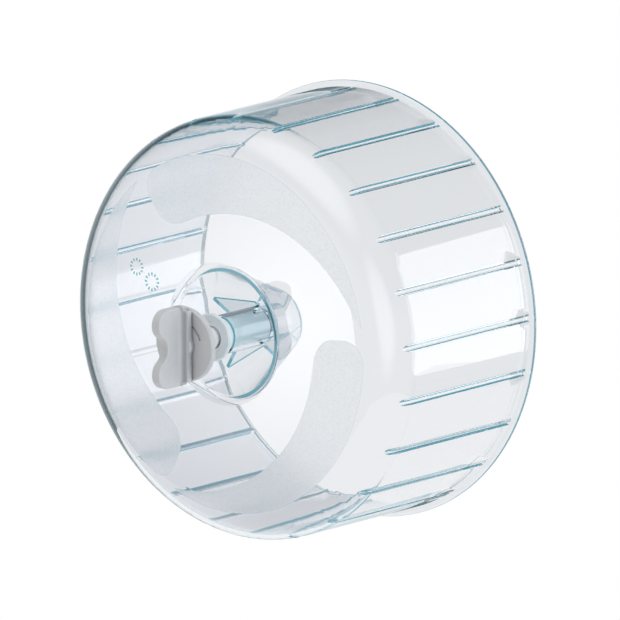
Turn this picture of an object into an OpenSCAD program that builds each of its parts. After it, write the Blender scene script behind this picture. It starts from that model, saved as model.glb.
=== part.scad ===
// Hamster wheel that clamps to the wires of a cage.
// A clear moulded drum turns on a grey spindle, and a wing screw with a loose
// disc clamps the spindle's collar to the cage wires.
// Millimetres. The origin is the centre of the collar's clamp face, +Y runs
// along the axle towards the drum's open end, and +Z is up.

/* [Drum] */
// Outer diameter of the flange round the open end
flange_d = 145; // [110:1:200]
// How far the flange stands out from the wall
flange_w = 2.1; // [1.2:0.1:4]
// Thickness of the flange
flange_t = 1.6; // [1.2:0.1:3]
// Width of the drum along its axle, closed face to open edge
drum_w = 70.4; // [55:0.5:100]
// Thickness of the moulded wall
wall_t = 1.6; // [1.2:0.1:2]
// Slope of the wall, which widens towards the open end
draft_deg = 1.2; // [0.5:0.1:3]
// Radius of the rounded shoulder between the closed face and the wall
shoulder_r = 13.8; // [8:0.2:18]
// Distance from the clamp face to the drum's closed face
face_y = 5.8; // [5.2:0.1:9]

/* [Treads] */
// Number of treads round the drum
tread_n = 24; // [12:1:30]
// Angle of the first tread from +X towards +Z
tread_phase = 3; // [0:0.5:15]
// Width of the channel behind each tread
channel_w = 1.5; // [1:0.1:2.5]
// Depth of the channel behind each tread
channel_depth = 1.2; // [0.8:0.1:2]
// Plastic left under the channel
channel_floor = 1.2; // [1:0.1:1.6]
// Width of each tread on the inside
tread_w = 2.6; // [2.4:0.1:5]
// Distance from the closed face to the channels' rounded near ends
channel_start = 6.6; // [5:0.1:12]

/* [Hub cup] */
// Diameter of the cup's mouth in the closed face
mouth_d = 42; // [38:0.2:50]
// Depth of the cup
cup_depth = 25.5; // [20:0.5:32]
// Diameter of the cup's floor
cup_floor_d = 19.8; // [18:0.2:21]
// Radius of the cup's lip on the face side
lip_r = 3.4; // [2:0.1:5]
// Radius of the blend behind the lip
blend_r = 1.8; // [1:0.1:3.4]
// Number of gussets between the tube and the cup
gusset_n = 4; // [3:1:6]
// Angle of the first gusset from +X towards +Z
gusset_phase = 60; // [0:1:90]
// Thickness of a gusset
gusset_t = 1.2; // [0.8:0.1:2]
// Depth of the gussets' front edges below the closed face
gusset_depth = 11.5; // [8:0.5:16]

/* [Axle] */
// Diameter of the spindle where the drum turns on it
journal_d = 10; // [9.6:0.1:10.6]
// Running clearance on the radius between the spindle and the tube
journal_clear = 0.08; // [0.04:0.01:0.1]
// Wall of the bearing tube
tube_t = 1.3; // [1.1:0.1:1.8]
// How far the bearing tube stands out from the closed face
tube_out = 1.1; // [0.6:0.1:2]
// Axial play of the drum at each end
end_play = 0.3; // [0.2:0.05:0.6]
// Length of the bearing in the tube, from its end to the web that closes it
bearing_len = 18.3; // [16:0.1:19]
// Thickness of the web
web_t = 1.6; // [1.2:0.1:2.2]
// Diameter of the spindle's stem where it goes through the web
stem_d = 6; // [5.6:0.1:7]
// Diameter of the collar that bears on the cage wires
collar_d = 15.6; // [14:0.2:22]
// Thickness of the collar
collar_t = 1.3; // [1:0.1:2]
// Diameter of the thrust boss behind the collar
boss_d = 11.6; // [11:0.1:12.4]

/* [Wing screw] */
// Diameter of the screw thread over its crests
thread_d = 7; // [6:0.1:7.4]
// Clearance on the radius between the thread's crests and the spindle's bore
thread_clear = 0.1; // [0.05:0.01:0.2]
// Gap that the clamp is stored at, between the collar and the disc
clamp_gap = 11; // [8:0.5:13]
// Diameter of the clamping disc
disc_d = 24; // [20:0.5:30]
// Thickness of the clamping disc
disc_t = 2; // [1.8:0.1:3]
// Height of the grip from its foot to the tips of its lobes
grip_h = 13.5; // [12.5:0.25:18]
// Length of the grip across the disc
grip_len = 25.6; // [23:0.2:30]
// Thickness of the grip's wings
grip_t = 3.4; // [2.6:0.1:4.5]

/* [Hidden] */

// Overrun of cuts past the faces that they open
cut = 1;
// Facets of a full round
round_fn = 96;

// Drum: the profile is drawn with the radius along X and the axle along Y
wall_end_r = flange_d / 2 - flange_w;
open_y = face_y + drum_w;
arc_y = face_y + shoulder_r;
arc_r = wall_end_r - (open_y - arc_y) * tan(draft_deg) - shoulder_r / cos(draft_deg);
// Radius of the wall's outside at a height along the axle
function wall_r(y) = wall_end_r - (open_y - y) * tan(draft_deg);

// Cup: its side is a cone from the lip down to its floor
mouth_r = mouth_d / 2;
cup_floor_r = cup_floor_d / 2;
cup_floor_y = face_y + cup_depth;
cone_a = atan((mouth_r - cup_floor_r) / cup_depth);
cone_skin = wall_t / cos(cone_a);
// Radius of the cup's inside at a height along the axle
function cup_r(y) = mouth_r - (y - face_y) * tan(cone_a);
floor_t = wall_t;
hub_end_y = cup_floor_y + floor_t;

// Tube and journal
bore_r = journal_d / 2 + journal_clear;
tube_r = bore_r + tube_t;
tube_y = face_y - tube_out;
// The web is the only part of the drum behind the bearing, and a recess behind it is open to the inside
web_y = tube_y + bearing_len;
stem_r = stem_d / 2;
stem_hole_r = stem_r + journal_clear;
journal_end_y = web_y - end_play;
// The ring that keeps the drum on, in its groove round the stem
ring_t = 1.2;
ring_r = bore_r - 0.5;
ring_gap_deg = 70;
ring_clear = 0.05;
groove_depth = 0.7;
groove_r = stem_r - groove_depth;
ring_y = web_y + web_t + end_play;
tip_len = 1.5;
tip_chamfer = 0.6;
spindle_end_y = ring_y + ring_t + 2 * ring_clear + tip_len;
edge_r = 0.4;

// Screw and grip
thread_r = thread_d / 2;
nut_r = thread_r + thread_clear;
disc_y = -clamp_gap - disc_t;
foot_gap = 0.15;
foot_y = disc_y - foot_gap;
// Closing the clamp moves the screw by the whole gap, and its tip then stops short of the bore's end
nut_floor_t = 1.4;
nut_end_y = journal_end_y - nut_floor_t;
tip_spare = 1;
screw_tip_y = nut_end_y - tip_spare - clamp_gap;
neck_r = 4.4;
neck_clear = 0.1;
bead_r = 4.9;
bead_t = 0.7;
bead_clear = 0.15;
pocket_depth = 1;
screw_chamfer = 0.8;

// Grip outline: two lobes with a hollow between them
lobe_r = 4.8;
lobe_y = grip_h - lobe_r;
lobe_z = grip_len / 2 - lobe_r;
// Height of the hollow's lowest point above the foot
hollow_h = grip_h - 4.3;
// A circle that touches both lobes and passes through the hollow's lowest point
hollow_rise = hollow_h - lobe_y;
hollow_r = (hollow_rise * hollow_rise + lobe_z * lobe_z - lobe_r * lobe_r)
         / (2 * (lobe_r - hollow_rise));
hollow_y = hollow_h + hollow_r;
// Thick root along the disc, with a scoop on each side up to the wing
root_t = 7.6;
root_h = 2.8;
scoop_r = (root_t - grip_t) / 2;

// Curved mark on the disc beside the grip
mark_r = 7.2;
mark_w = 0.9;
mark_depth = 0.4;
mark_from = 18;
mark_sweep = 46;

// Turns a solid drawn round Z so that its axis runs along +Y
module along_y() {
    rotate([-90, 0, 0]) children();
}

// Turns a shape about the axle, from +X towards +Z
module about_axle(angle) {
    rotate([0, -angle, 0]) children();
}

// The corner between a wall across the axle and the cup's cone, up to a circle that touches both.
// The shape goes past both of them by a distance, so it joins them or cuts them cleanly.
module cone_corner(corner, radius, past) {
    lean = [cos(cone_a), sin(cone_a)];
    shift = [(1 - sin(cone_a)) / cos(cone_a), 1];
    centre = corner + radius * shift;
    difference() {
        polygon([
            [centre[0], corner[1]], centre - radius * lean, centre - (radius + past) * lean,
            corner - past * shift, [centre[0], corner[1] - past]
        ]);
        translate(centre) circle(r = radius, $fn = round_fn);
    }
}

// Outline of the drum's outside when skin is 0, or of a smaller one inside it
module drum_outline(skin) {
    arc = shoulder_r - skin;
    touch_r = arc_r + arc * cos(draft_deg);
    touch_y = arc_y - arc * sin(draft_deg);
    end_y = open_y + (skin > 0 ? cut : 0);
    end_r = touch_r + (end_y - touch_y) * tan(draft_deg);
    polygon([
        [0, arc_y - arc], [arc_r, arc_y - arc], [arc_r, arc_y],
        [touch_r, touch_y], [end_r, end_y], [0, end_y]
    ]);
    intersection() {
        translate([arc_r, arc_y]) circle(r = arc, $fn = round_fn);
        translate([arc_r, arc_y - arc]) square([arc, arc]);
    }
}

// The flange, with a full round on its outer edge
module flange_outline() {
    edge = flange_t / 2;
    inner_r = wall_end_r - wall_t / 2;
    translate([inner_r, open_y - flange_t]) square([flange_d / 2 - edge - inner_r, flange_t]);
    translate([flange_d / 2 - edge, open_y - edge]) circle(r = edge, $fn = round_fn);
}

// The hollow of the cup, open at the closed face
module cup_hollow() {
    polygon([
        [0, face_y - cut], [mouth_r + cut * tan(cone_a), face_y - cut],
        [cup_floor_r, cup_floor_y], [0, cup_floor_y]
    ]);
}

// The cup's wall and floor before the hollow is cut, with the blend behind its lip
module cup_shell() {
    back_y = face_y + wall_t;
    polygon([
        [0, face_y], [mouth_r + cone_skin, face_y], [cup_r(hub_end_y) + cone_skin, hub_end_y],
        [0, hub_end_y]
    ]);
    cone_corner([cup_r(back_y) + cone_skin, back_y], blend_r, wall_t / 2);
}

// The whole turned section of the drum
module drum_section() {
    difference() {
        union() {
            difference() {
                drum_outline(0);
                drum_outline(wall_t);
            }
            flange_outline();
            cup_shell();
        }
        cup_hollow();
        cone_corner([mouth_r, face_y], lip_r, cut);
    }
    translate([0, tube_y]) square([tube_r, hub_end_y - tube_y]);
}

// A bar along the wall, with a round underside and near end, and its underside at a depth below the outside
module wall_bar(width, depth, height, start_y, end_y) {
    run = (end_y - start_y) / cos(draft_deg);
    round_r = width / 2;
    translate([wall_r(start_y) - depth / cos(draft_deg), start_y, 0])
        rotate([0, 0, -draft_deg])
            translate([round_r, 0, 0]) {
                translate([0, 0, -round_r]) cube([height - round_r, run, width]);
                rotate([-90, 0, 0]) cylinder(h = run, r = round_r, $fn = round_fn);
                rotate([0, 90, 0]) cylinder(h = height - round_r, r = round_r, $fn = round_fn);
                sphere(r = round_r, $fn = round_fn);
            }
}

// Each tread's inner ridge, kept inside the drum's outside
module treads() {
    ridge_depth = channel_depth + channel_floor;
    intersection() {
        along_y() rotate_extrude($fn = round_fn) drum_outline(wall_t / 2);
        for (i = [0 : tread_n - 1])
            about_axle(tread_phase + i * 360 / tread_n)
                wall_bar(tread_w, ridge_depth, ridge_depth, face_y + channel_start, open_y - flange_t / 2);
    }
}

// The channels on the outside, each behind its tread
module channels() {
    for (i = [0 : tread_n - 1])
        about_axle(tread_phase + i * 360 / tread_n)
            wall_bar(channel_w, channel_depth, channel_depth + cut,
                     face_y + channel_start, open_y - flange_t);
}

// Webs between the tube and the cup's cone
module gussets() {
    front_y = face_y + gusset_depth;
    sink = wall_t / 2;
    for (i = [0 : gusset_n - 1])
        about_axle(gusset_phase + i * 360 / gusset_n)
            translate([0, 0, -gusset_t / 2])
                linear_extrude(height = gusset_t)
                    polygon([
                        [bore_r + sink, front_y],
                        [cup_r(front_y) + sink, front_y],
                        [cup_floor_r + sink, cup_floor_y + sink],
                        [bore_r + sink, cup_floor_y + sink]
                    ]);
}

module wheel_drum() {
    color([0.80, 0.90, 0.93, 0.35])
        difference() {
            union() {
                along_y() rotate_extrude($fn = round_fn) drum_section();
                treads();
                gussets();
            }
            channels();
            translate([0, tube_y - cut, 0])
                along_y() cylinder(h = bearing_len + cut, r = bore_r, $fn = round_fn);
            translate([0, web_y - cut, 0])
                along_y() cylinder(h = web_t + 2 * cut, r = stem_hole_r, $fn = round_fn);
            translate([0, web_y + web_t, 0])
                along_y() cylinder(h = hub_end_y - web_y - web_t + cut, r = bore_r, $fn = round_fn);
        }
}

// A turned length of the spindle, with a small chamfer at each end
module turned(from_y, to_y, radius, chamfer) {
    translate([0, from_y, 0])
        along_y() rotate_extrude($fn = round_fn)
            polygon([
                [0, 0], [radius - chamfer, 0], [radius, chamfer],
                [radius, to_y - from_y - chamfer], [radius - chamfer, to_y - from_y],
                [0, to_y - from_y]
            ]);
}

module spindle() {
    color([0.72, 0.74, 0.76])
        difference() {
            union() {
                turned(0, collar_t, collar_d / 2, edge_r);
                translate([0, collar_t / 2, 0])
                    along_y() cylinder(h = tube_y - end_play - collar_t / 2, r = boss_d / 2, $fn = round_fn);
                translate([0, collar_t, 0])
                    along_y() cylinder(h = journal_end_y - collar_t, r = journal_d / 2, $fn = round_fn);
                translate([0, journal_end_y - cut, 0])
                    along_y() cylinder(h = ring_y + cut - journal_end_y, r = stem_r, $fn = round_fn);
                translate([0, journal_end_y, 0])
                    along_y() cylinder(h = spindle_end_y - journal_end_y - tip_chamfer, r = groove_r, $fn = round_fn);
                turned(ring_y + ring_t + 2 * ring_clear, spindle_end_y, stem_r, tip_chamfer);
            }
            translate([0, -cut, 0])
                along_y() cylinder(h = nut_end_y + cut, r = nut_r, $fn = round_fn);
            translate([0, -cut, 0])
                along_y() cylinder(h = cut + screw_chamfer, r1 = nut_r + cut + screw_chamfer, r2 = nut_r,
                                   $fn = round_fn);
        }
}

// An open ring that springs into the groove behind the web
module axle_retainer() {
    color([0.68, 0.70, 0.72])
        translate([0, ring_y + ring_clear, 0])
            along_y() rotate([0, 0, 90 + ring_gap_deg / 2])
                rotate_extrude(angle = 360 - ring_gap_deg, $fn = round_fn)
                    translate([groove_r + ring_clear, 0])
                        square([ring_r - groove_r - ring_clear, ring_t]);
}

module clamp_disc() {
    color([0.76, 0.78, 0.80])
        difference() {
            turned(disc_y, disc_y + disc_t, disc_d / 2, edge_r);
            translate([0, disc_y - cut, 0])
                along_y() cylinder(h = disc_t + 2 * cut, r = neck_r + neck_clear, $fn = round_fn);
            translate([0, disc_y + disc_t - pocket_depth, 0])
                along_y() cylinder(h = pocket_depth + cut, r = bead_r + neck_clear + bead_clear, $fn = round_fn);
            translate([0, disc_y + mark_depth, 0])
                rotate([90, 0, 0]) rotate([0, 0, mark_from])
                    rotate_extrude(angle = mark_sweep, $fn = round_fn)
                        translate([mark_r - mark_w / 2, 0]) square([mark_w, mark_depth + cut]);
        }
}

// The grip's outline, with its height along X and its length along Y
module grip_outline() {
    half = grip_len / 2;
    translate([0, -half]) square([lobe_y, grip_len]);
    for (side = [-1, 1]) translate([lobe_y, side * lobe_z]) circle(r = lobe_r, $fn = round_fn);
    // Where the hollow's circle touches a lobe
    reach = lobe_r / (lobe_r + hollow_r);
    touch = [lobe_y + (hollow_y - lobe_y) * reach, lobe_z * (1 - reach)];
    difference() {
        polygon([
            [lobe_y, lobe_z], [touch[0], touch[1]], [touch[0], -touch[1]], [lobe_y, -lobe_z]
        ]);
        translate([hollow_y, 0]) circle(r = hollow_r, $fn = round_fn);
    }
}

// The grip's root across its thickness, with the scoops that lead up to the wing
module root_outline() {
    difference() {
        translate([-root_t / 2, 0]) square([root_t, root_h + scoop_r]);
        for (side = [-1, 1])
            translate([side * root_t / 2, root_h + scoop_r]) circle(r = scoop_r, $fn = round_fn);
    }
}

module wing_screw() {
    color([0.76, 0.78, 0.80]) {
        // Wings: height runs towards -Y and length along Z
        translate([grip_t / 2, foot_y, 0])
            rotate([0, -90, 0]) rotate([0, 0, -90])
                linear_extrude(height = grip_t) grip_outline();
        translate([0, foot_y, 0])
            intersection() {
                translate([0, 0, -disc_d / 2])
                    linear_extrude(height = disc_d) mirror([0, 1]) root_outline();
                along_y() translate([0, 0, -root_h - scoop_r - cut])
                    cylinder(h = root_h + scoop_r + 2 * cut, r = disc_d / 2, $fn = round_fn);
            }
        // Neck and bead that the disc turns on
        translate([0, foot_y - root_h / 2, 0])
            along_y() cylinder(h = disc_y + disc_t - foot_y + root_h / 2 - bead_clear / 2, r = neck_r,
                               $fn = round_fn);
        translate([0, disc_y + disc_t - pocket_depth + bead_clear, 0])
            along_y() cylinder(h = bead_t, r = bead_r, $fn = round_fn);
        turned(foot_y, screw_tip_y, thread_r, screw_chamfer);
    }
}

wheel_drum();
spindle();
axle_retainer();
clamp_disc();
wing_screw();
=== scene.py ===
import math

import bpy
import bmesh
from mathutils import Matrix, Vector


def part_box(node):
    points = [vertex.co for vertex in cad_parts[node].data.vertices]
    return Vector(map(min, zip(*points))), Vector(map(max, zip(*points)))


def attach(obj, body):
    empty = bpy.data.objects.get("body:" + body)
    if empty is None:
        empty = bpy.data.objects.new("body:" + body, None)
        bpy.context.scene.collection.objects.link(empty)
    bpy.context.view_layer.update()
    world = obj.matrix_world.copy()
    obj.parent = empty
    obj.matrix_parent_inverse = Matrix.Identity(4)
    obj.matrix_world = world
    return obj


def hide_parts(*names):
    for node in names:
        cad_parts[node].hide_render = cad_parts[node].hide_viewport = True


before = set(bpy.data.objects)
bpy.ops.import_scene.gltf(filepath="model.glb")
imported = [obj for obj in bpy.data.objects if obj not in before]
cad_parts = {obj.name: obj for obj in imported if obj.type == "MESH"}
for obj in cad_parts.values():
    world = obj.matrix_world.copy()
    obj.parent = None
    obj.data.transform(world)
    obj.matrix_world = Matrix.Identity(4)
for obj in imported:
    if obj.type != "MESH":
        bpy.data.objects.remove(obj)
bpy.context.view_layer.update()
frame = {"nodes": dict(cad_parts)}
MM = 0.001

# Camera at the photo's angle, fitted to the outline of the flange and the closed face
VIEW_AZIMUTH, VIEW_ELEVATION = 40.21, 12.47
VIEW_PLACE = (1.3139, -1.5052, 0.4508)
LENS, SENSOR = 373.0, 36.0
CLIP_START, CLIP_END = 0.05, 60.0

# Clear plastic: its tint on each wall, the painted shade on its marks' edges, and its colour in depth
CLEAR, EDGE_SHADE_COLOUR = (0.92, 0.93, 0.955), (0.06, 0.28, 0.35)
DEPTH_COLOUR, DEPTH_DENSITY = (0.30, 0.62, 0.72), 16.0
TRAPPED_GLOW_COLOUR, PASSED_LIGHT = (0.15, 0.40, 0.48), (0.90, 0.91, 0.93)
PLASTIC_IOR = 1.5
HAZE_SCALE, ROUGH, HAZE_ROUGH = 60.0, 0.01, 0.03
FROST_SCALE, FROST_ROUGH, FROST_SPREAD = 1800.0, 0.22, 0.2
FROST_BUMP, FROST_HEIGHT, TICK_HEIGHT = 0.4, 0.12 * MM, 2.0
SPECKLE, OUTLINE = 0.16, 0.35
# Surfaces passed, as limits between two whole numbers: where walls stop tinting what is behind them, and
# where light counts as trapped in the plastic, by its reflections and by its whole path
CLEAR_PAST, TRAPPED_TURNS, TRAPPED_PATH = 3.5, 3.5, 9.5

# Frosted patches on the closed face: three commas, each 120 degrees from the next
PATCH_OUTER, PATCH_INNER, PATCH_CORNER = 58.2 * MM, 38.2 * MM, 8.0 * MM
PATCH_HEADS = (127.0, 6.0, 246.0)
PATCH_HEAD, PATCH_SWEEP, PATCH_TAPER = 12.0, 106.0, 1.9
PATCH_SOFT, PATCH_LINE = 0.12 * MM, 0.16 * MM
FACE_FRONT = 6.5 * MM
# Two rings of ticks on the closed face: places in x and z, and radius
MARKS = ((-36.6 * MM, 17.1 * MM, 2.9 * MM), (-30.1 * MM, 13.0 * MM, 3.1 * MM))
MARK_TICKS = 12
MARK_RING, MARK_WIDTH = 0.83, 0.17

# Grey plastics
GREY, RETAINER_GREY = (0.545, 0.555, 0.565), (0.56, 0.58, 0.6)
SPINDLE_GREY, SCREW_GREY = (0.72, 0.78, 0.80), (0.72, 0.75, 0.77)
# The colour of the painted shade in hollows and creases, and of the painted light on the mouth of the
# spindle's bore
PAINTED_SHADE_COLOUR, MOUTH_LIGHT_COLOUR = (0.42, 0.44, 0.47), (0.97, 0.98, 0.98)
CLOUD_SCALE, CLOUD_LOW, CLOUD_HIGH, CLOUD_ROUGH = 260.0, 0.94, 1.05, 0.1
GRAIN_SCALE, GRAIN_BUMP, GRAIN_HEIGHT = 2600.0, 0.12, 0.06 * MM
# Openness of a place at which the painted shade begins and is full, and how far and how finely it is felt
# for
SHADE_BEGINS, SHADE_FULL, SHADE_REACH, SHADE_SAMPLES = 0.95, 0.4, 0.01, 8
SOFT_SHARE, SOFT_DEPTH = 0.08, 0.002
# The spindle: the mouth of its bore, painted light where the screw shades it, and a painted tint of the
# light on the journal where the tube begins
MOUTH_Y, MOUTH_R = 1.5 * MM, 4.6 * MM
TUBE_Y, TUBE_LIGHT_TINT = 4.7 * MM, (0.95, 1.06, 1.0)

# Wing screw, in mm: the sizes of the CAD node, with rounded edges and a real thread
FOOT_Y = -13.15
GRIP_H, LOBE_R, LOBE_Z, GRIP_T = 13.5, 4.8, 8.0, 3.4
HOLLOW_H = 9.2
ROOT_T, ROOT_H, DISC_R = 7.6, 2.8, 12.0
# The softened foot would reach the disc's hole if the neck were as wide as the CAD node's 4.4
NECK_R, NECK_BURIED, NECK_END_Y = 4.35, 1.4, -11.08
BEAD = ((-11.84, 0), (-11.84, 4.75), (-11.7, 4.88), (-11.3, 4.88), (-11.17, 4.75), (-11.17, 0))
THREAD_CREST, THREAD_ROOT, PITCH = 3.56, 3.1, 3.0
# Half of the ridge's width as a share of the pitch, and how far its top is flattened
RIDGE_HALF, RIDGE_FLAT = 0.31, 1.35
THREAD_FOOT, THREAD_FADE, THREAD_CHAMFER = 0.6, 0.9, 0.6
VOXEL, SOFTEN_FACTOR, SOFTEN_TIMES = 0.16, 0.6, 24
# Painted shade on the line between the plate and its root: place along the axle, half width and depth
CREASE_Y, CREASE_HALF, CREASE_SHADE = (FOOT_Y - 2.95) * MM, 1.2 * MM, 0.7

# The room that reflections show: pale all round, a dark ceiling and soft glows (direction, inner and outer
# angle, strength). Light that has been turned round inside the plastic and comes out of it again shows the
# room's dark ends: near when nothing else is in front, deep and inner when it is seen through other walls.
WALLS, CEILING = (0.9, 0.9, 0.92), (0.12, 0.125, 0.15)
CEILING_HEIGHT, CEILING_THROUGH = 0.4, 0.3
EDGE_NEAR, EDGE_DEEP, EDGE_INNER = 0.1, 0.5, 0.95
EDGE_TINT = (0.3, 0.9, 1.05)
# Surfaces passed, from the near edges to the deep ones and from these to the inner ones
TO_DEEP, TO_INNER = (2.5, 3.5), (4.5, 5.5)
GLOWS = (((-0.05, -0.50, 0.86), 14, 40, 1.3), ((0.74, -0.63, 0.1), 10, 30, 1.2))
AMBIENT, BACKDROP = 0.66, 0.91
FLOOR_Z, FLOOR_R, FLOOR_COLOUR = -0.4, 0.8, (0.9, 0.9, 0.9)
# How much of the floor's middle is plain white, in the camera's view and through the plastic, and the
# shares of its radius between which it turns white
FLOOR_SEEN, FLOOR_BEHIND, FLOOR_FADE = 0.7, 0.93, (0.2, 0.95)
CARD_AIM, CARD_WAY = (0.034, 0.006, 0.008), (-0.630, -0.746, -0.216)
CARD_AWAY, CARD_SOFT, CARD_LIGHT = 1.2, 0.12, 3.9
WHITE = (1.0, 1.0, 1.0)
# Name, direction, distance, width, height, power, seen in reflections, colour
SOFTBOXES = (
    ("top_softbox", (-0.15, -0.15, 0.95), 1.6, 1.2, 1.2, 9, False, WHITE),
    ("right_softbox", (1.0, 0.0, 0.2), 1.6, 1.0, 1.0, 8.5, False, (0.88, 0.95, 1.0)),
    ("side_softbox", (0.615, 0.787, 0.047), 1.8, 1.0, 1.43, 8.3, True, WHITE),
)
DRUM_MIDDLE_Y = 0.03


def make_camera():
    azimuth, elevation = math.radians(VIEW_AZIMUTH), math.radians(VIEW_ELEVATION)
    back = Vector((math.sin(azimuth) * math.cos(elevation), -math.cos(azimuth) * math.cos(elevation),
                   math.sin(elevation)))
    right = Vector((math.cos(azimuth), math.sin(azimuth), 0.0))
    up = back.cross(right)
    data = bpy.data.cameras.new("photo_camera")
    data.lens = LENS
    data.sensor_width = SENSOR
    data.clip_start = CLIP_START
    data.clip_end = CLIP_END
    camera = bpy.data.objects.new("photo_camera", data)
    bpy.context.scene.collection.objects.link(camera)
    matrix = Matrix((right, up, back)).transposed().to_4x4()
    matrix.translation = Vector(VIEW_PLACE)
    camera.matrix_world = matrix
    bpy.context.scene.camera = camera


class Nodes:
    """A short way to write a node tree."""

    def __init__(self, tree):
        self.tree = tree

    def add(self, kind, _op=None, **inputs):
        """A new node. An input goes by its name, or by its number after an underscore."""
        node = self.tree.nodes.new(kind)
        if _op:
            node.operation = _op
        for key, value in inputs.items():
            name = int(key[1:]) if key[0] == "_" and key[1:].isdigit() else key.replace("_", " ")
            self.put(node.inputs[name], value)
        return node

    def put(self, socket, value):
        if isinstance(value, bpy.types.NodeSocket):
            self.tree.links.new(value, socket)
        elif socket.type == "RGBA":
            socket.default_value = (*value, 1.0)
        else:
            socket.default_value = value

    def math(self, op, a, b=0.0, clamp=False):
        node = self.add("ShaderNodeMath", op)
        node.use_clamp = clamp
        self.put(node.inputs[0], a)
        self.put(node.inputs[1], b)
        return node.outputs[0]

    def length(self, a, b):
        squares = self.math("ADD", self.math("MULTIPLY", a, a), self.math("MULTIPLY", b, b))
        return self.math("SQRT", squares)

    def ramp(self, value, low, high, to_low=0.0, to_high=1.0):
        node = self.add("ShaderNodeMapRange")
        node.interpolation_type = "SMOOTHSTEP"
        for name, v in (("Value", value), ("From Min", low), ("From Max", high),
                        ("To Min", to_low), ("To Max", to_high)):
            self.put(node.inputs[name], v)
        return node.outputs[0]

    def colour(self, share, a, b, mode="MIX"):
        """The mix of two colours."""
        node = self.add("ShaderNodeMix")
        node.data_type = "RGBA"
        node.blend_type = mode
        for name, v in (("Factor", share), ("A", a), ("B", b)):
            self.put(node.inputs[name], v)
        return node.outputs["Result"]

    def shaders(self, share, a, b):
        """The mix of two shaders."""
        return self.add("ShaderNodeMixShader", Fac=share, _1=a, _2=b).outputs[0]

    def white(self, kind, strength=1.0):
        """A white Emission or Background."""
        return self.add(kind, Strength=strength, Color=WHITE).outputs[0]

    def place(self, kind="Object"):
        """Texture coordinates, and their three parts."""
        place = self.add("ShaderNodeTexCoord").outputs[kind]
        return place, tuple(self.add("ShaderNodeSeparateXYZ", Vector=place).outputs)


def new_material(name):
    material = bpy.data.materials.new(name)
    material.use_nodes = True
    material.node_tree.nodes.clear()
    nodes = Nodes(material.node_tree)
    output = nodes.add("ShaderNodeOutputMaterial")
    return material, nodes, output


def dress(obj, material):
    obj.data.materials.clear()
    obj.data.materials.append(material)


def face_patches(n, x, y, z):
    """How far inside the nearest comma a point is, in metres, and 1 on the face's front only."""
    radius = n.length(x, z)
    angle = n.math("MULTIPLY", n.math("ARCTAN2", z, x), 180 / math.pi)
    inside = None
    for head in PATCH_HEADS:
        # Degrees from the head's end towards the tail
        delta = n.math("WRAP", n.math("SUBTRACT", head, angle), 360.0)
        delta.node.inputs[2].default_value = 0.0
        share = n.math("DIVIDE", n.math("SUBTRACT", delta, PATCH_HEAD), PATCH_SWEEP, clamp=True)
        inner = n.math("ADD", PATCH_INNER, n.math("MULTIPLY", PATCH_OUTER - PATCH_INNER,
                                                  n.math("POWER", share, PATCH_TAPER)))
        edge = n.math("MINIMUM", n.math("SUBTRACT", PATCH_OUTER, radius), n.math("SUBTRACT", radius, inner))
        run = n.math("MULTIPLY", n.math("MULTIPLY", delta, math.pi / 180), radius)
        across = n.math("MAXIMUM", n.math("SUBTRACT", PATCH_CORNER, edge), 0.0)
        along = n.math("MAXIMUM", n.math("SUBTRACT", PATCH_CORNER, run), 0.0)
        depth = n.math("SUBTRACT", PATCH_CORNER, n.length(across, along))
        past_tail = n.math("GREATER_THAN", delta, PATCH_HEAD + PATCH_SWEEP - 1)
        depth = n.math("SUBTRACT", depth, past_tail)
        inside = depth if inside is None else n.math("MAXIMUM", inside, depth)
    front = n.math("LESS_THAN", y, FACE_FRONT)
    return inside, front


def tick_rings(n, x, z):
    """1 on the ticks of the two rings."""
    total = None
    for mark_x, mark_z, mark_r in MARKS:
        dx, dz = n.math("SUBTRACT", x, mark_x), n.math("SUBTRACT", z, mark_z)
        away = n.math("ABSOLUTE", n.math("SUBTRACT", n.length(dx, dz), MARK_RING * mark_r))
        ring = n.math("LESS_THAN", away, MARK_WIDTH * mark_r)
        tick = n.math("COSINE", n.math("MULTIPLY", n.math("ARCTAN2", dz, dx), MARK_TICKS))
        mark = n.math("MULTIPLY", ring, n.ramp(tick, -0.1, 0.3))
        total = mark if total is None else n.math("MAXIMUM", total, mark)
    return total


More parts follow.
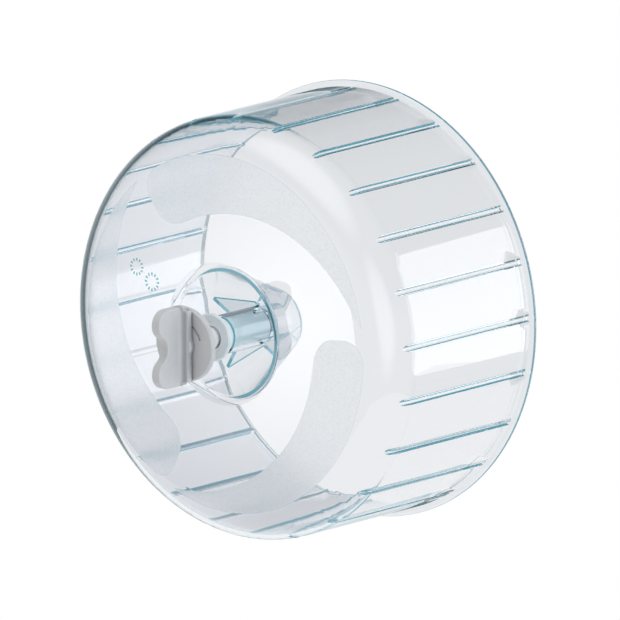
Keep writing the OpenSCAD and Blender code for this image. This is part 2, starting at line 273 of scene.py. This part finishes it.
def clear_plastic():
    material, n, output = new_material("clear_plastic")
    place, (x, y, z) = n.place()
    inside, front = face_patches(n, x, y, z)
    frost = n.math("MULTIPLY", n.ramp(inside, -PATCH_SOFT, PATCH_SOFT), front)
    outline = n.math("MULTIPLY", n.ramp(n.math("ABSOLUTE", inside), PATCH_LINE, 0.0), front)
    ticks = n.math("MULTIPLY", tick_rings(n, x, z), front)
    haze = n.add("ShaderNodeTexNoise", Vector=place, Scale=HAZE_SCALE, Detail=3.0).outputs["Fac"]
    grain = n.add("ShaderNodeTexNoise", Vector=place, Scale=FROST_SCALE, Detail=2.0).outputs["Fac"]
    frosted = n.math("MULTIPLY", frost, n.math("ADD", FROST_ROUGH, n.math("MULTIPLY", grain, FROST_SPREAD)))
    rough = n.math("ADD", n.math("ADD", n.math("MULTIPLY", haze, HAZE_ROUGH), ROUGH), frosted)
    height = n.math("ADD", n.math("MULTIPLY", frost, grain), n.math("MULTIPLY", ticks, TICK_HEIGHT))
    bump = n.add("ShaderNodeBump", Strength=FROST_BUMP, Distance=FROST_HEIGHT, Height=height)
    # Painted shade: thin outlines round the frosted patches and the ticks are painted dark teal for the
    # shade at their edges; the speckle in the patches is the frost's own grain
    speckle = n.math("MULTIPLY", frost, n.ramp(grain, 0.45, 0.7, 0.0, SPECKLE))
    deep = n.math("MAXIMUM", speckle, n.math("MAXIMUM", n.math("MULTIPLY", outline, OUTLINE), ticks))
    tint = n.colour(deep, CLEAR, EDGE_SHADE_COLOUR)
    # Only the first two walls in a line of sight tint what is behind them, so what they hold stays clear
    path = n.add("ShaderNodeLightPath").outputs
    clearer = n.colour(n.math("GREATER_THAN", path["Transmission Depth"], CLEAR_PAST), tint, WHITE)
    shader = n.add("ShaderNodeBsdfPrincipled", IOR=PLASTIC_IOR, Roughness=rough, Normal=bump.outputs[0],
                   Base_Color=clearer, Transmission_Weight=1.0)
    # Painted light: light that has been round inside the plastic many times is replaced by a fixed teal
    # glow
    trapped = n.math("MAXIMUM", n.math("GREATER_THAN", path["Glossy Depth"], TRAPPED_TURNS),
                     n.math("GREATER_THAN", path["Ray Depth"], TRAPPED_PATH))
    glow = n.add("ShaderNodeEmission", Strength=1.0, Color=TRAPPED_GLOW_COLOUR)
    seen = n.shaders(trapped, shader.outputs[0], glow.outputs[0])
    # Light from the lamps and the room shines through, to what is inside and to the floor
    through = n.add("ShaderNodeBsdfTransparent", Color=PASSED_LIGHT)
    light = n.math("MAXIMUM", path["Is Shadow Ray"], path["Is Diffuse Ray"])
    n.put(output.inputs["Surface"], n.shaders(light, seen, through.outputs[0]))
    volume = n.add("ShaderNodeVolumeAbsorption", Density=DEPTH_DENSITY, Color=DEPTH_COLOUR)
    n.put(output.inputs["Volume"], volume.outputs[0])
    return material


def grey_plastic(name, colour, rough=0.42, painted_shade=1.0, crease=None, pale=None, past=None):
    """Moulded grey plastic, with painted shade in its corners and grooves. crease is a band of painted
    shade (y, half width), pale a mouth painted bright to lift its shade (y, radius), past a painted tint of
    the light beyond a place (y, colour)."""
    material, n, output = new_material(name)
    place, (across, along, up) = n.place()
    cloud = n.add("ShaderNodeTexNoise", Vector=place, Scale=CLOUD_SCALE, Detail=3.0).outputs["Fac"]
    grain = n.add("ShaderNodeTexNoise", Vector=place, Scale=GRAIN_SCALE, Detail=3.0).outputs["Fac"]
    tone = n.colour(cloud, [c * CLOUD_LOW for c in colour], [min(1, c * CLOUD_HIGH) for c in colour])
    # Painted shade: corners and grooves are darkened by how enclosed they are
    hollow = n.add("ShaderNodeAmbientOcclusion", Distance=SHADE_REACH)
    hollow.samples = SHADE_SAMPLES
    shade = n.ramp(hollow.outputs["AO"], SHADE_BEGINS, SHADE_FULL, 0.0, painted_shade)
    # Painted shade along the crease between the plate and its root
    if crease:
        band = n.math("ABSOLUTE", n.math("SUBTRACT", along, crease[0]))
        shade = n.math("MAXIMUM", shade, n.ramp(band, 0.0, crease[1], CREASE_SHADE, 0.0))
    paint = n.colour(shade, tone, PAINTED_SHADE_COLOUR, "MULTIPLY")
    # Painted light: the bore's mouth, which lies in the screw's shade, is made near white
    if pale:
        mouth = n.math("MULTIPLY", n.math("LESS_THAN", along, pale[0]),
                       n.math("LESS_THAN", n.length(across, up), pale[1]))
        paint = n.colour(mouth, paint, MOUTH_LIGHT_COLOUR)
    # Painted light: the journal inside the tube takes the tint of the light seen through the tube
    if past:
        paint = n.colour(n.math("GREATER_THAN", along, past[0]), paint, past[1], "MULTIPLY")
    bump = n.add("ShaderNodeBump", Strength=GRAIN_BUMP, Distance=GRAIN_HEIGHT, Height=grain)
    cloudy = n.math("ADD", rough - CLOUD_ROUGH / 2, n.math("MULTIPLY", cloud, CLOUD_ROUGH))
    shader = n.add("ShaderNodeBsdfPrincipled", Normal=bump.outputs[0], Base_Color=paint, Roughness=cloudy,
                   Subsurface_Weight=SOFT_SHARE, Subsurface_Radius=(SOFT_DEPTH,) * 3)
    n.put(output.inputs["Surface"], shader.outputs[0])
    return material


def mesh_object(name, vertices, faces, smooth=True):
    mesh = bpy.data.meshes.new(name)
    mesh.from_pydata(vertices, [], faces)
    mesh.update()
    if smooth:
        mesh.shade_smooth()
    obj = bpy.data.objects.new(name, mesh)
    bpy.context.scene.collection.objects.link(obj)
    return obj


def side_faces(rings, around):
    """The faces between rings of vertices that follow each other."""
    return [(i * around + k, i * around + (k + 1) % around,
             (i + 1) * around + (k + 1) % around, (i + 1) * around + k)
            for i in range(rings - 1) for k in range(around)]


def end_faces(rings, around):
    """The faces that close the first and the last ring."""
    return [tuple(range(around)), tuple(range(rings * around - 1, (rings - 1) * around - 1, -1))]


def weld(obj, distance=1e-7):
    work = bmesh.new()
    work.from_mesh(obj.data)
    bmesh.ops.remove_doubles(work, verts=work.verts, dist=distance)
    bmesh.ops.dissolve_degenerate(work, dist=distance, edges=work.edges)
    bmesh.ops.recalc_face_normals(work, faces=work.faces)
    work.to_mesh(obj.data)
    work.free()


def triangulate(obj):
    work = bmesh.new()
    work.from_mesh(obj.data)
    bmesh.ops.recalc_face_normals(work, faces=work.faces)
    bmesh.ops.triangulate(work, faces=work.faces)
    work.to_mesh(obj.data)
    work.free()


def lathe(name, outline, around=96):
    """A solid turned round the axle: outline is (y, radius) in mm, with radius 0 at both ends."""
    vertices = []
    for y, radius in outline:
        for k in range(around):
            a = 2 * math.pi * k / around
            vertices.append((radius * MM * math.sin(a), y * MM, radius * MM * math.cos(a)))
    obj = mesh_object(name, vertices, side_faces(len(outline), around))
    weld(obj)
    return obj


def apply_modifiers(obj):
    graph = bpy.context.evaluated_depsgraph_get()
    mesh = bpy.data.meshes.new_from_object(obj.evaluated_get(graph))
    obj.modifiers.clear()
    obj.data = mesh


def grip_outline(steps=28):
    """The two-lobed plate from the side, as (height over the foot, z)."""
    lobe_y = GRIP_H - LOBE_R
    rise = HOLLOW_H - lobe_y
    hollow_r = (rise * rise + LOBE_Z * LOBE_Z - LOBE_R * LOBE_R) / (2 * (LOBE_R - rise))
    hollow_y = HOLLOW_H + hollow_r
    meet = math.degrees(math.atan2(hollow_y - lobe_y, LOBE_Z))
    points = [(0.0, LOBE_Z + LOBE_R)]
    # From the lobe's outer side over its top to where the hollow begins
    for k in range(steps + 1):
        a = math.radians(90 - (180 - meet) * k / steps)
        points.append((lobe_y + LOBE_R * math.cos(a), LOBE_Z + LOBE_R * math.sin(a)))
    lobe = list(points)
    half = math.atan2(lobe[-1][1], hollow_y - lobe[-1][0])
    for k in range(1, steps):
        a = half * (1 - 2 * k / steps)
        points.append((hollow_y - hollow_r * math.cos(a), hollow_r * math.sin(a)))
    return points + [(h, -z) for h, z in reversed(lobe)]


def root_outline(steps=12):
    """The thick root under the plate from its end, as (x, height over the foot)."""
    scoop = (ROOT_T - GRIP_T) / 2
    points = [(-ROOT_T / 2, 0.0), (-ROOT_T / 2, ROOT_H)]
    for k in range(1, steps + 1):
        a = math.radians(90 * k / steps)
        points.append((-ROOT_T / 2 + scoop * math.sin(a), ROOT_H + scoop * (1 - math.cos(a))))
    points.append((-GRIP_T / 2, ROOT_H + scoop + 1))
    return points + [(-x, h) for x, h in reversed(points)]


def make_plate():
    outline = grip_outline()
    vertices = [(x * MM, (FOOT_Y - h) * MM, z * MM) for x in (-GRIP_T / 2, GRIP_T / 2) for h, z in outline]
    faces = end_faces(2, len(outline)) + side_faces(2, len(outline))
    return mesh_object("wing_grip", vertices, faces, smooth=False)


def make_root(rows=25):
    """The root, which follows the disc's edge at both ends."""
    outline = root_outline()
    vertices = []
    for j in range(rows):
        for x, h in outline:
            reach = math.sqrt(DISC_R ** 2 - x * x)
            vertices.append((x * MM, (FOOT_Y - h) * MM, reach * (2 * j / (rows - 1) - 1) * MM))
    faces = side_faces(rows, len(outline)) + end_faces(rows, len(outline))
    return mesh_object("root", vertices, faces, smooth=False)


def make_grip():
    """Plate, root and neck as one moulding with soft edges."""
    plate, root = make_plate(), make_root()
    neck_y = FOOT_Y - NECK_BURIED
    neck = lathe("neck", ((neck_y, 0), (neck_y, NECK_R), (NECK_END_Y, NECK_R), (NECK_END_Y, 0)))
    joined = bmesh.new()
    for part in (plate, root, neck):
        triangulate(part)
        joined.from_mesh(part.data)
    joined.to_mesh(plate.data)
    joined.free()
    for part in (root, neck):
        bpy.data.objects.remove(part)
    remesh = plate.modifiers.new("solid", "REMESH")
    remesh.mode = "VOXEL"
    remesh.voxel_size = VOXEL * MM
    soften = plate.modifiers.new("soften", "SMOOTH")
    soften.factor = SOFTEN_FACTOR
    soften.iterations = SOFTEN_TIMES
    apply_modifiers(plate)
    plate.data.shade_smooth()
    return plate


def make_thread(around=72, step=0.12):
    """The screw surface round the core, from the grip's foot to the screw's tip."""
    low, high = FOOT_Y + THREAD_FOOT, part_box("wing_screw")[1][1] / MM
    rows = int((high - low) / step)
    vertices = []
    for i in range(rows + 1):
        y = low + (high - low) * i / rows
        for k in range(around):
            a = 2 * math.pi * k / around
            aside = abs((y / PITCH - k / around) % 1.0 - 0.5)
            # A rounded ridge that takes up a bit more than half of the pitch
            ridge = math.cos(math.pi * aside / (2 * RIDGE_HALF)) if aside < RIDGE_HALF else 0.0
            ridge = min(1.0, RIDGE_FLAT * ridge)
            ridge *= min(1.0, max(0.0, (high - THREAD_FADE - y) / THREAD_FADE))
            radius = THREAD_ROOT + (THREAD_CREST - THREAD_ROOT) * ridge
            radius -= max(0.0, y - (high - THREAD_CHAMFER))
            vertices.append((radius * MM * math.sin(a), y * MM, radius * MM * math.cos(a)))
    faces = side_faces(rows + 1, around) + end_faces(rows + 1, around)
    thread = mesh_object("screw_thread", vertices, faces)
    weld(thread)
    return thread


def make_wing_screw(grip_material, thread_material):
    """The wing screw, with the bead on its neck that holds the disc."""
    for piece, material in ((make_grip(), grip_material), (make_thread(), thread_material),
                            (lathe("neck_bead", BEAD), grip_material)):
        dress(piece, material)
        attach(piece, "screw")
        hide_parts("wing_screw")


def make_world(scene):
    """White behind and through the part, even light on it, and a grey room in its reflections."""
    world = bpy.data.worlds.new("studio")
    scene.world = world
    world.use_nodes = True
    world.node_tree.nodes.clear()
    n = Nodes(world.node_tree)
    place, (_, _, height) = n.place("Generated")
    path = n.add("ShaderNodeLightPath").outputs
    came_out, depth = path["Is Transmission Ray"], path["Transmission Depth"]
    dark = n.math("MULTIPLY", n.ramp(height, 0.0, CEILING_HEIGHT),
                  n.ramp(came_out, 0.0, 1.0, 1.0, CEILING_THROUGH))
    room = n.colour(dark, WALLS, CEILING)
    # The near edges keep a little of the plastic's edge colour
    near_edge = n.math("MULTIPLY", came_out, n.math("LESS_THAN", depth, 3.0))
    room = n.colour(near_edge, room, EDGE_TINT, "MULTIPLY")
    edges = n.math("MAXIMUM", n.ramp(depth, *TO_DEEP, EDGE_NEAR, EDGE_DEEP),
                   n.ramp(depth, *TO_INNER, 0.0, EDGE_INNER))
    strength = n.math("MAXIMUM", edges, n.math("SUBTRACT", 1.0, came_out))
    around = n.add("ShaderNodeBackground", Color=room, Strength=strength).outputs[0]
    glow = 0.0
    for direction, inner, outer, power in GLOWS:
        near = n.add("ShaderNodeVectorMath", "DOT_PRODUCT", _0=place,
                     _1=tuple(Vector(direction).normalized())).outputs["Value"]
        soft = n.ramp(near, math.cos(math.radians(outer)), math.cos(math.radians(inner)), 0.0, power)
        glow = n.math("ADD", glow, soft)
    reflected = n.add("ShaderNodeAddShader", _0=around, _1=n.white("ShaderNodeBackground", glow)).outputs[0]
    mirrored = n.math("GREATER_THAN", path["Glossy Depth"], 0.5)
    behind = n.ramp(path["Is Camera Ray"], 0.0, 1.0, BACKDROP, 1.0)
    shown = n.shaders(mirrored, n.white("ShaderNodeBackground", behind), reflected)
    light = n.shaders(path["Is Diffuse Ray"], shown, n.white("ShaderNodeBackground", AMBIENT))
    n.put(n.add("ShaderNodeOutputWorld").inputs["Surface"], light)


def make_floor():
    """A pale round floor that fades into the white behind it and keeps the part's shadow."""
    material, n, output = new_material("floor")
    place, _ = n.place()
    away = n.add("ShaderNodeVectorMath", "LENGTH", _0=place).outputs["Value"]
    matt = n.add("ShaderNodeBsdfDiffuse", Color=FLOOR_COLOUR).outputs[0]
    path = n.add("ShaderNodeLightPath").outputs
    shown = n.math("MAXIMUM", path["Is Camera Ray"],
                   n.math("MAXIMUM", path["Is Glossy Ray"], path["Is Transmission Ray"]))
    middle = n.ramp(path["Is Camera Ray"], 0.0, 1.0, FLOOR_BEHIND, FLOOR_SEEN)
    fade = (share * FLOOR_R for share in FLOOR_FADE)
    paper = n.math("MULTIPLY", shown, n.ramp(away, *fade, middle, 1.0))
    n.put(output.inputs["Surface"], n.shaders(paper, matt, n.white("ShaderNodeEmission")))
    around = 64
    turns = [2 * math.pi * k / around for k in range(around)]
    rim = [(FLOOR_R * math.cos(a), FLOOR_R * math.sin(a), 0) for a in turns]
    floor = mesh_object("floor", rim, [tuple(range(around))], smooth=False)
    floor.location.z = FLOOR_Z
    dress(floor, material)


def make_card():
    """A card with soft edges that only reflections show: the sheen on the closed face."""
    material, n, output = new_material("card")
    place, _ = n.place()
    away = n.add("ShaderNodeVectorMath", "LENGTH", _0=place).outputs["Value"]
    light = n.white("ShaderNodeEmission", n.ramp(away, CARD_SOFT, 0.0, 0.0, CARD_LIGHT))
    both = n.add("ShaderNodeAddShader", _0=light, _1=n.add("ShaderNodeBsdfTransparent").outputs[0])
    n.put(output.inputs["Surface"], both.outputs[0])
    corners = [(a * CARD_SOFT, b * CARD_SOFT, 0) for a, b in ((-1, -1), (1, -1), (1, 1), (-1, 1))]
    card = mesh_object("card", corners, [(0, 1, 2, 3)], smooth=False)
    card.location = Vector(CARD_AIM) + Vector(CARD_WAY) * CARD_AWAY
    card.rotation_euler = Vector(CARD_WAY).to_track_quat("Z", "Y").to_euler()
    card.visible_camera = card.visible_diffuse = card.visible_transmission = card.visible_shadow = False
    dress(card, material)


def make_softbox(scene, name, direction, distance, width, height, power, seen, colour):
    data = bpy.data.lights.new(name, "AREA")
    data.shape = "RECTANGLE"
    data.size, data.size_y = width, height
    data.energy = power
    data.color = colour
    lamp = bpy.data.objects.new(name, data)
    scene.collection.objects.link(lamp)
    toward = Vector(direction).normalized()
    lamp.location = toward * distance + Vector((0, DRUM_MIDDLE_Y, 0))
    lamp.rotation_euler = toward.to_track_quat("Z", "Y").to_euler()
    lamp.visible_glossy = lamp.visible_transmission = seen


def make_studio():
    scene = bpy.context.scene
    scene.view_settings.view_transform = "Standard"
    make_world(scene)
    make_floor()
    make_card()
    for softbox in SOFTBOXES:
        make_softbox(scene, *softbox)


make_camera()
make_studio()
nodes = frame["nodes"]
# Grey parts, each with its share of painted shade in corners and grooves
grey = grey_plastic("grey_plastic", GREY, painted_shade=0.8, crease=(CREASE_Y, CREASE_HALF))
dress(nodes["wheel_drum"], clear_plastic())
dress(nodes["spindle"], grey_plastic("spindle_plastic", SPINDLE_GREY, 0.22, painted_shade=0.0,
                                     pale=(MOUTH_Y, MOUTH_R), past=(TUBE_Y, TUBE_LIGHT_TINT)))
dress(nodes["axle_retainer"], grey_plastic("retainer_plastic", RETAINER_GREY, 0.5))
dress(nodes["clamp_disc"], grey_plastic("disc_plastic", GREY, painted_shade=0.45))
dress(nodes["wing_screw"], grey)
make_wing_screw(grey, grey_plastic("screw_plastic", SCREW_GREY, painted_shade=0.0))
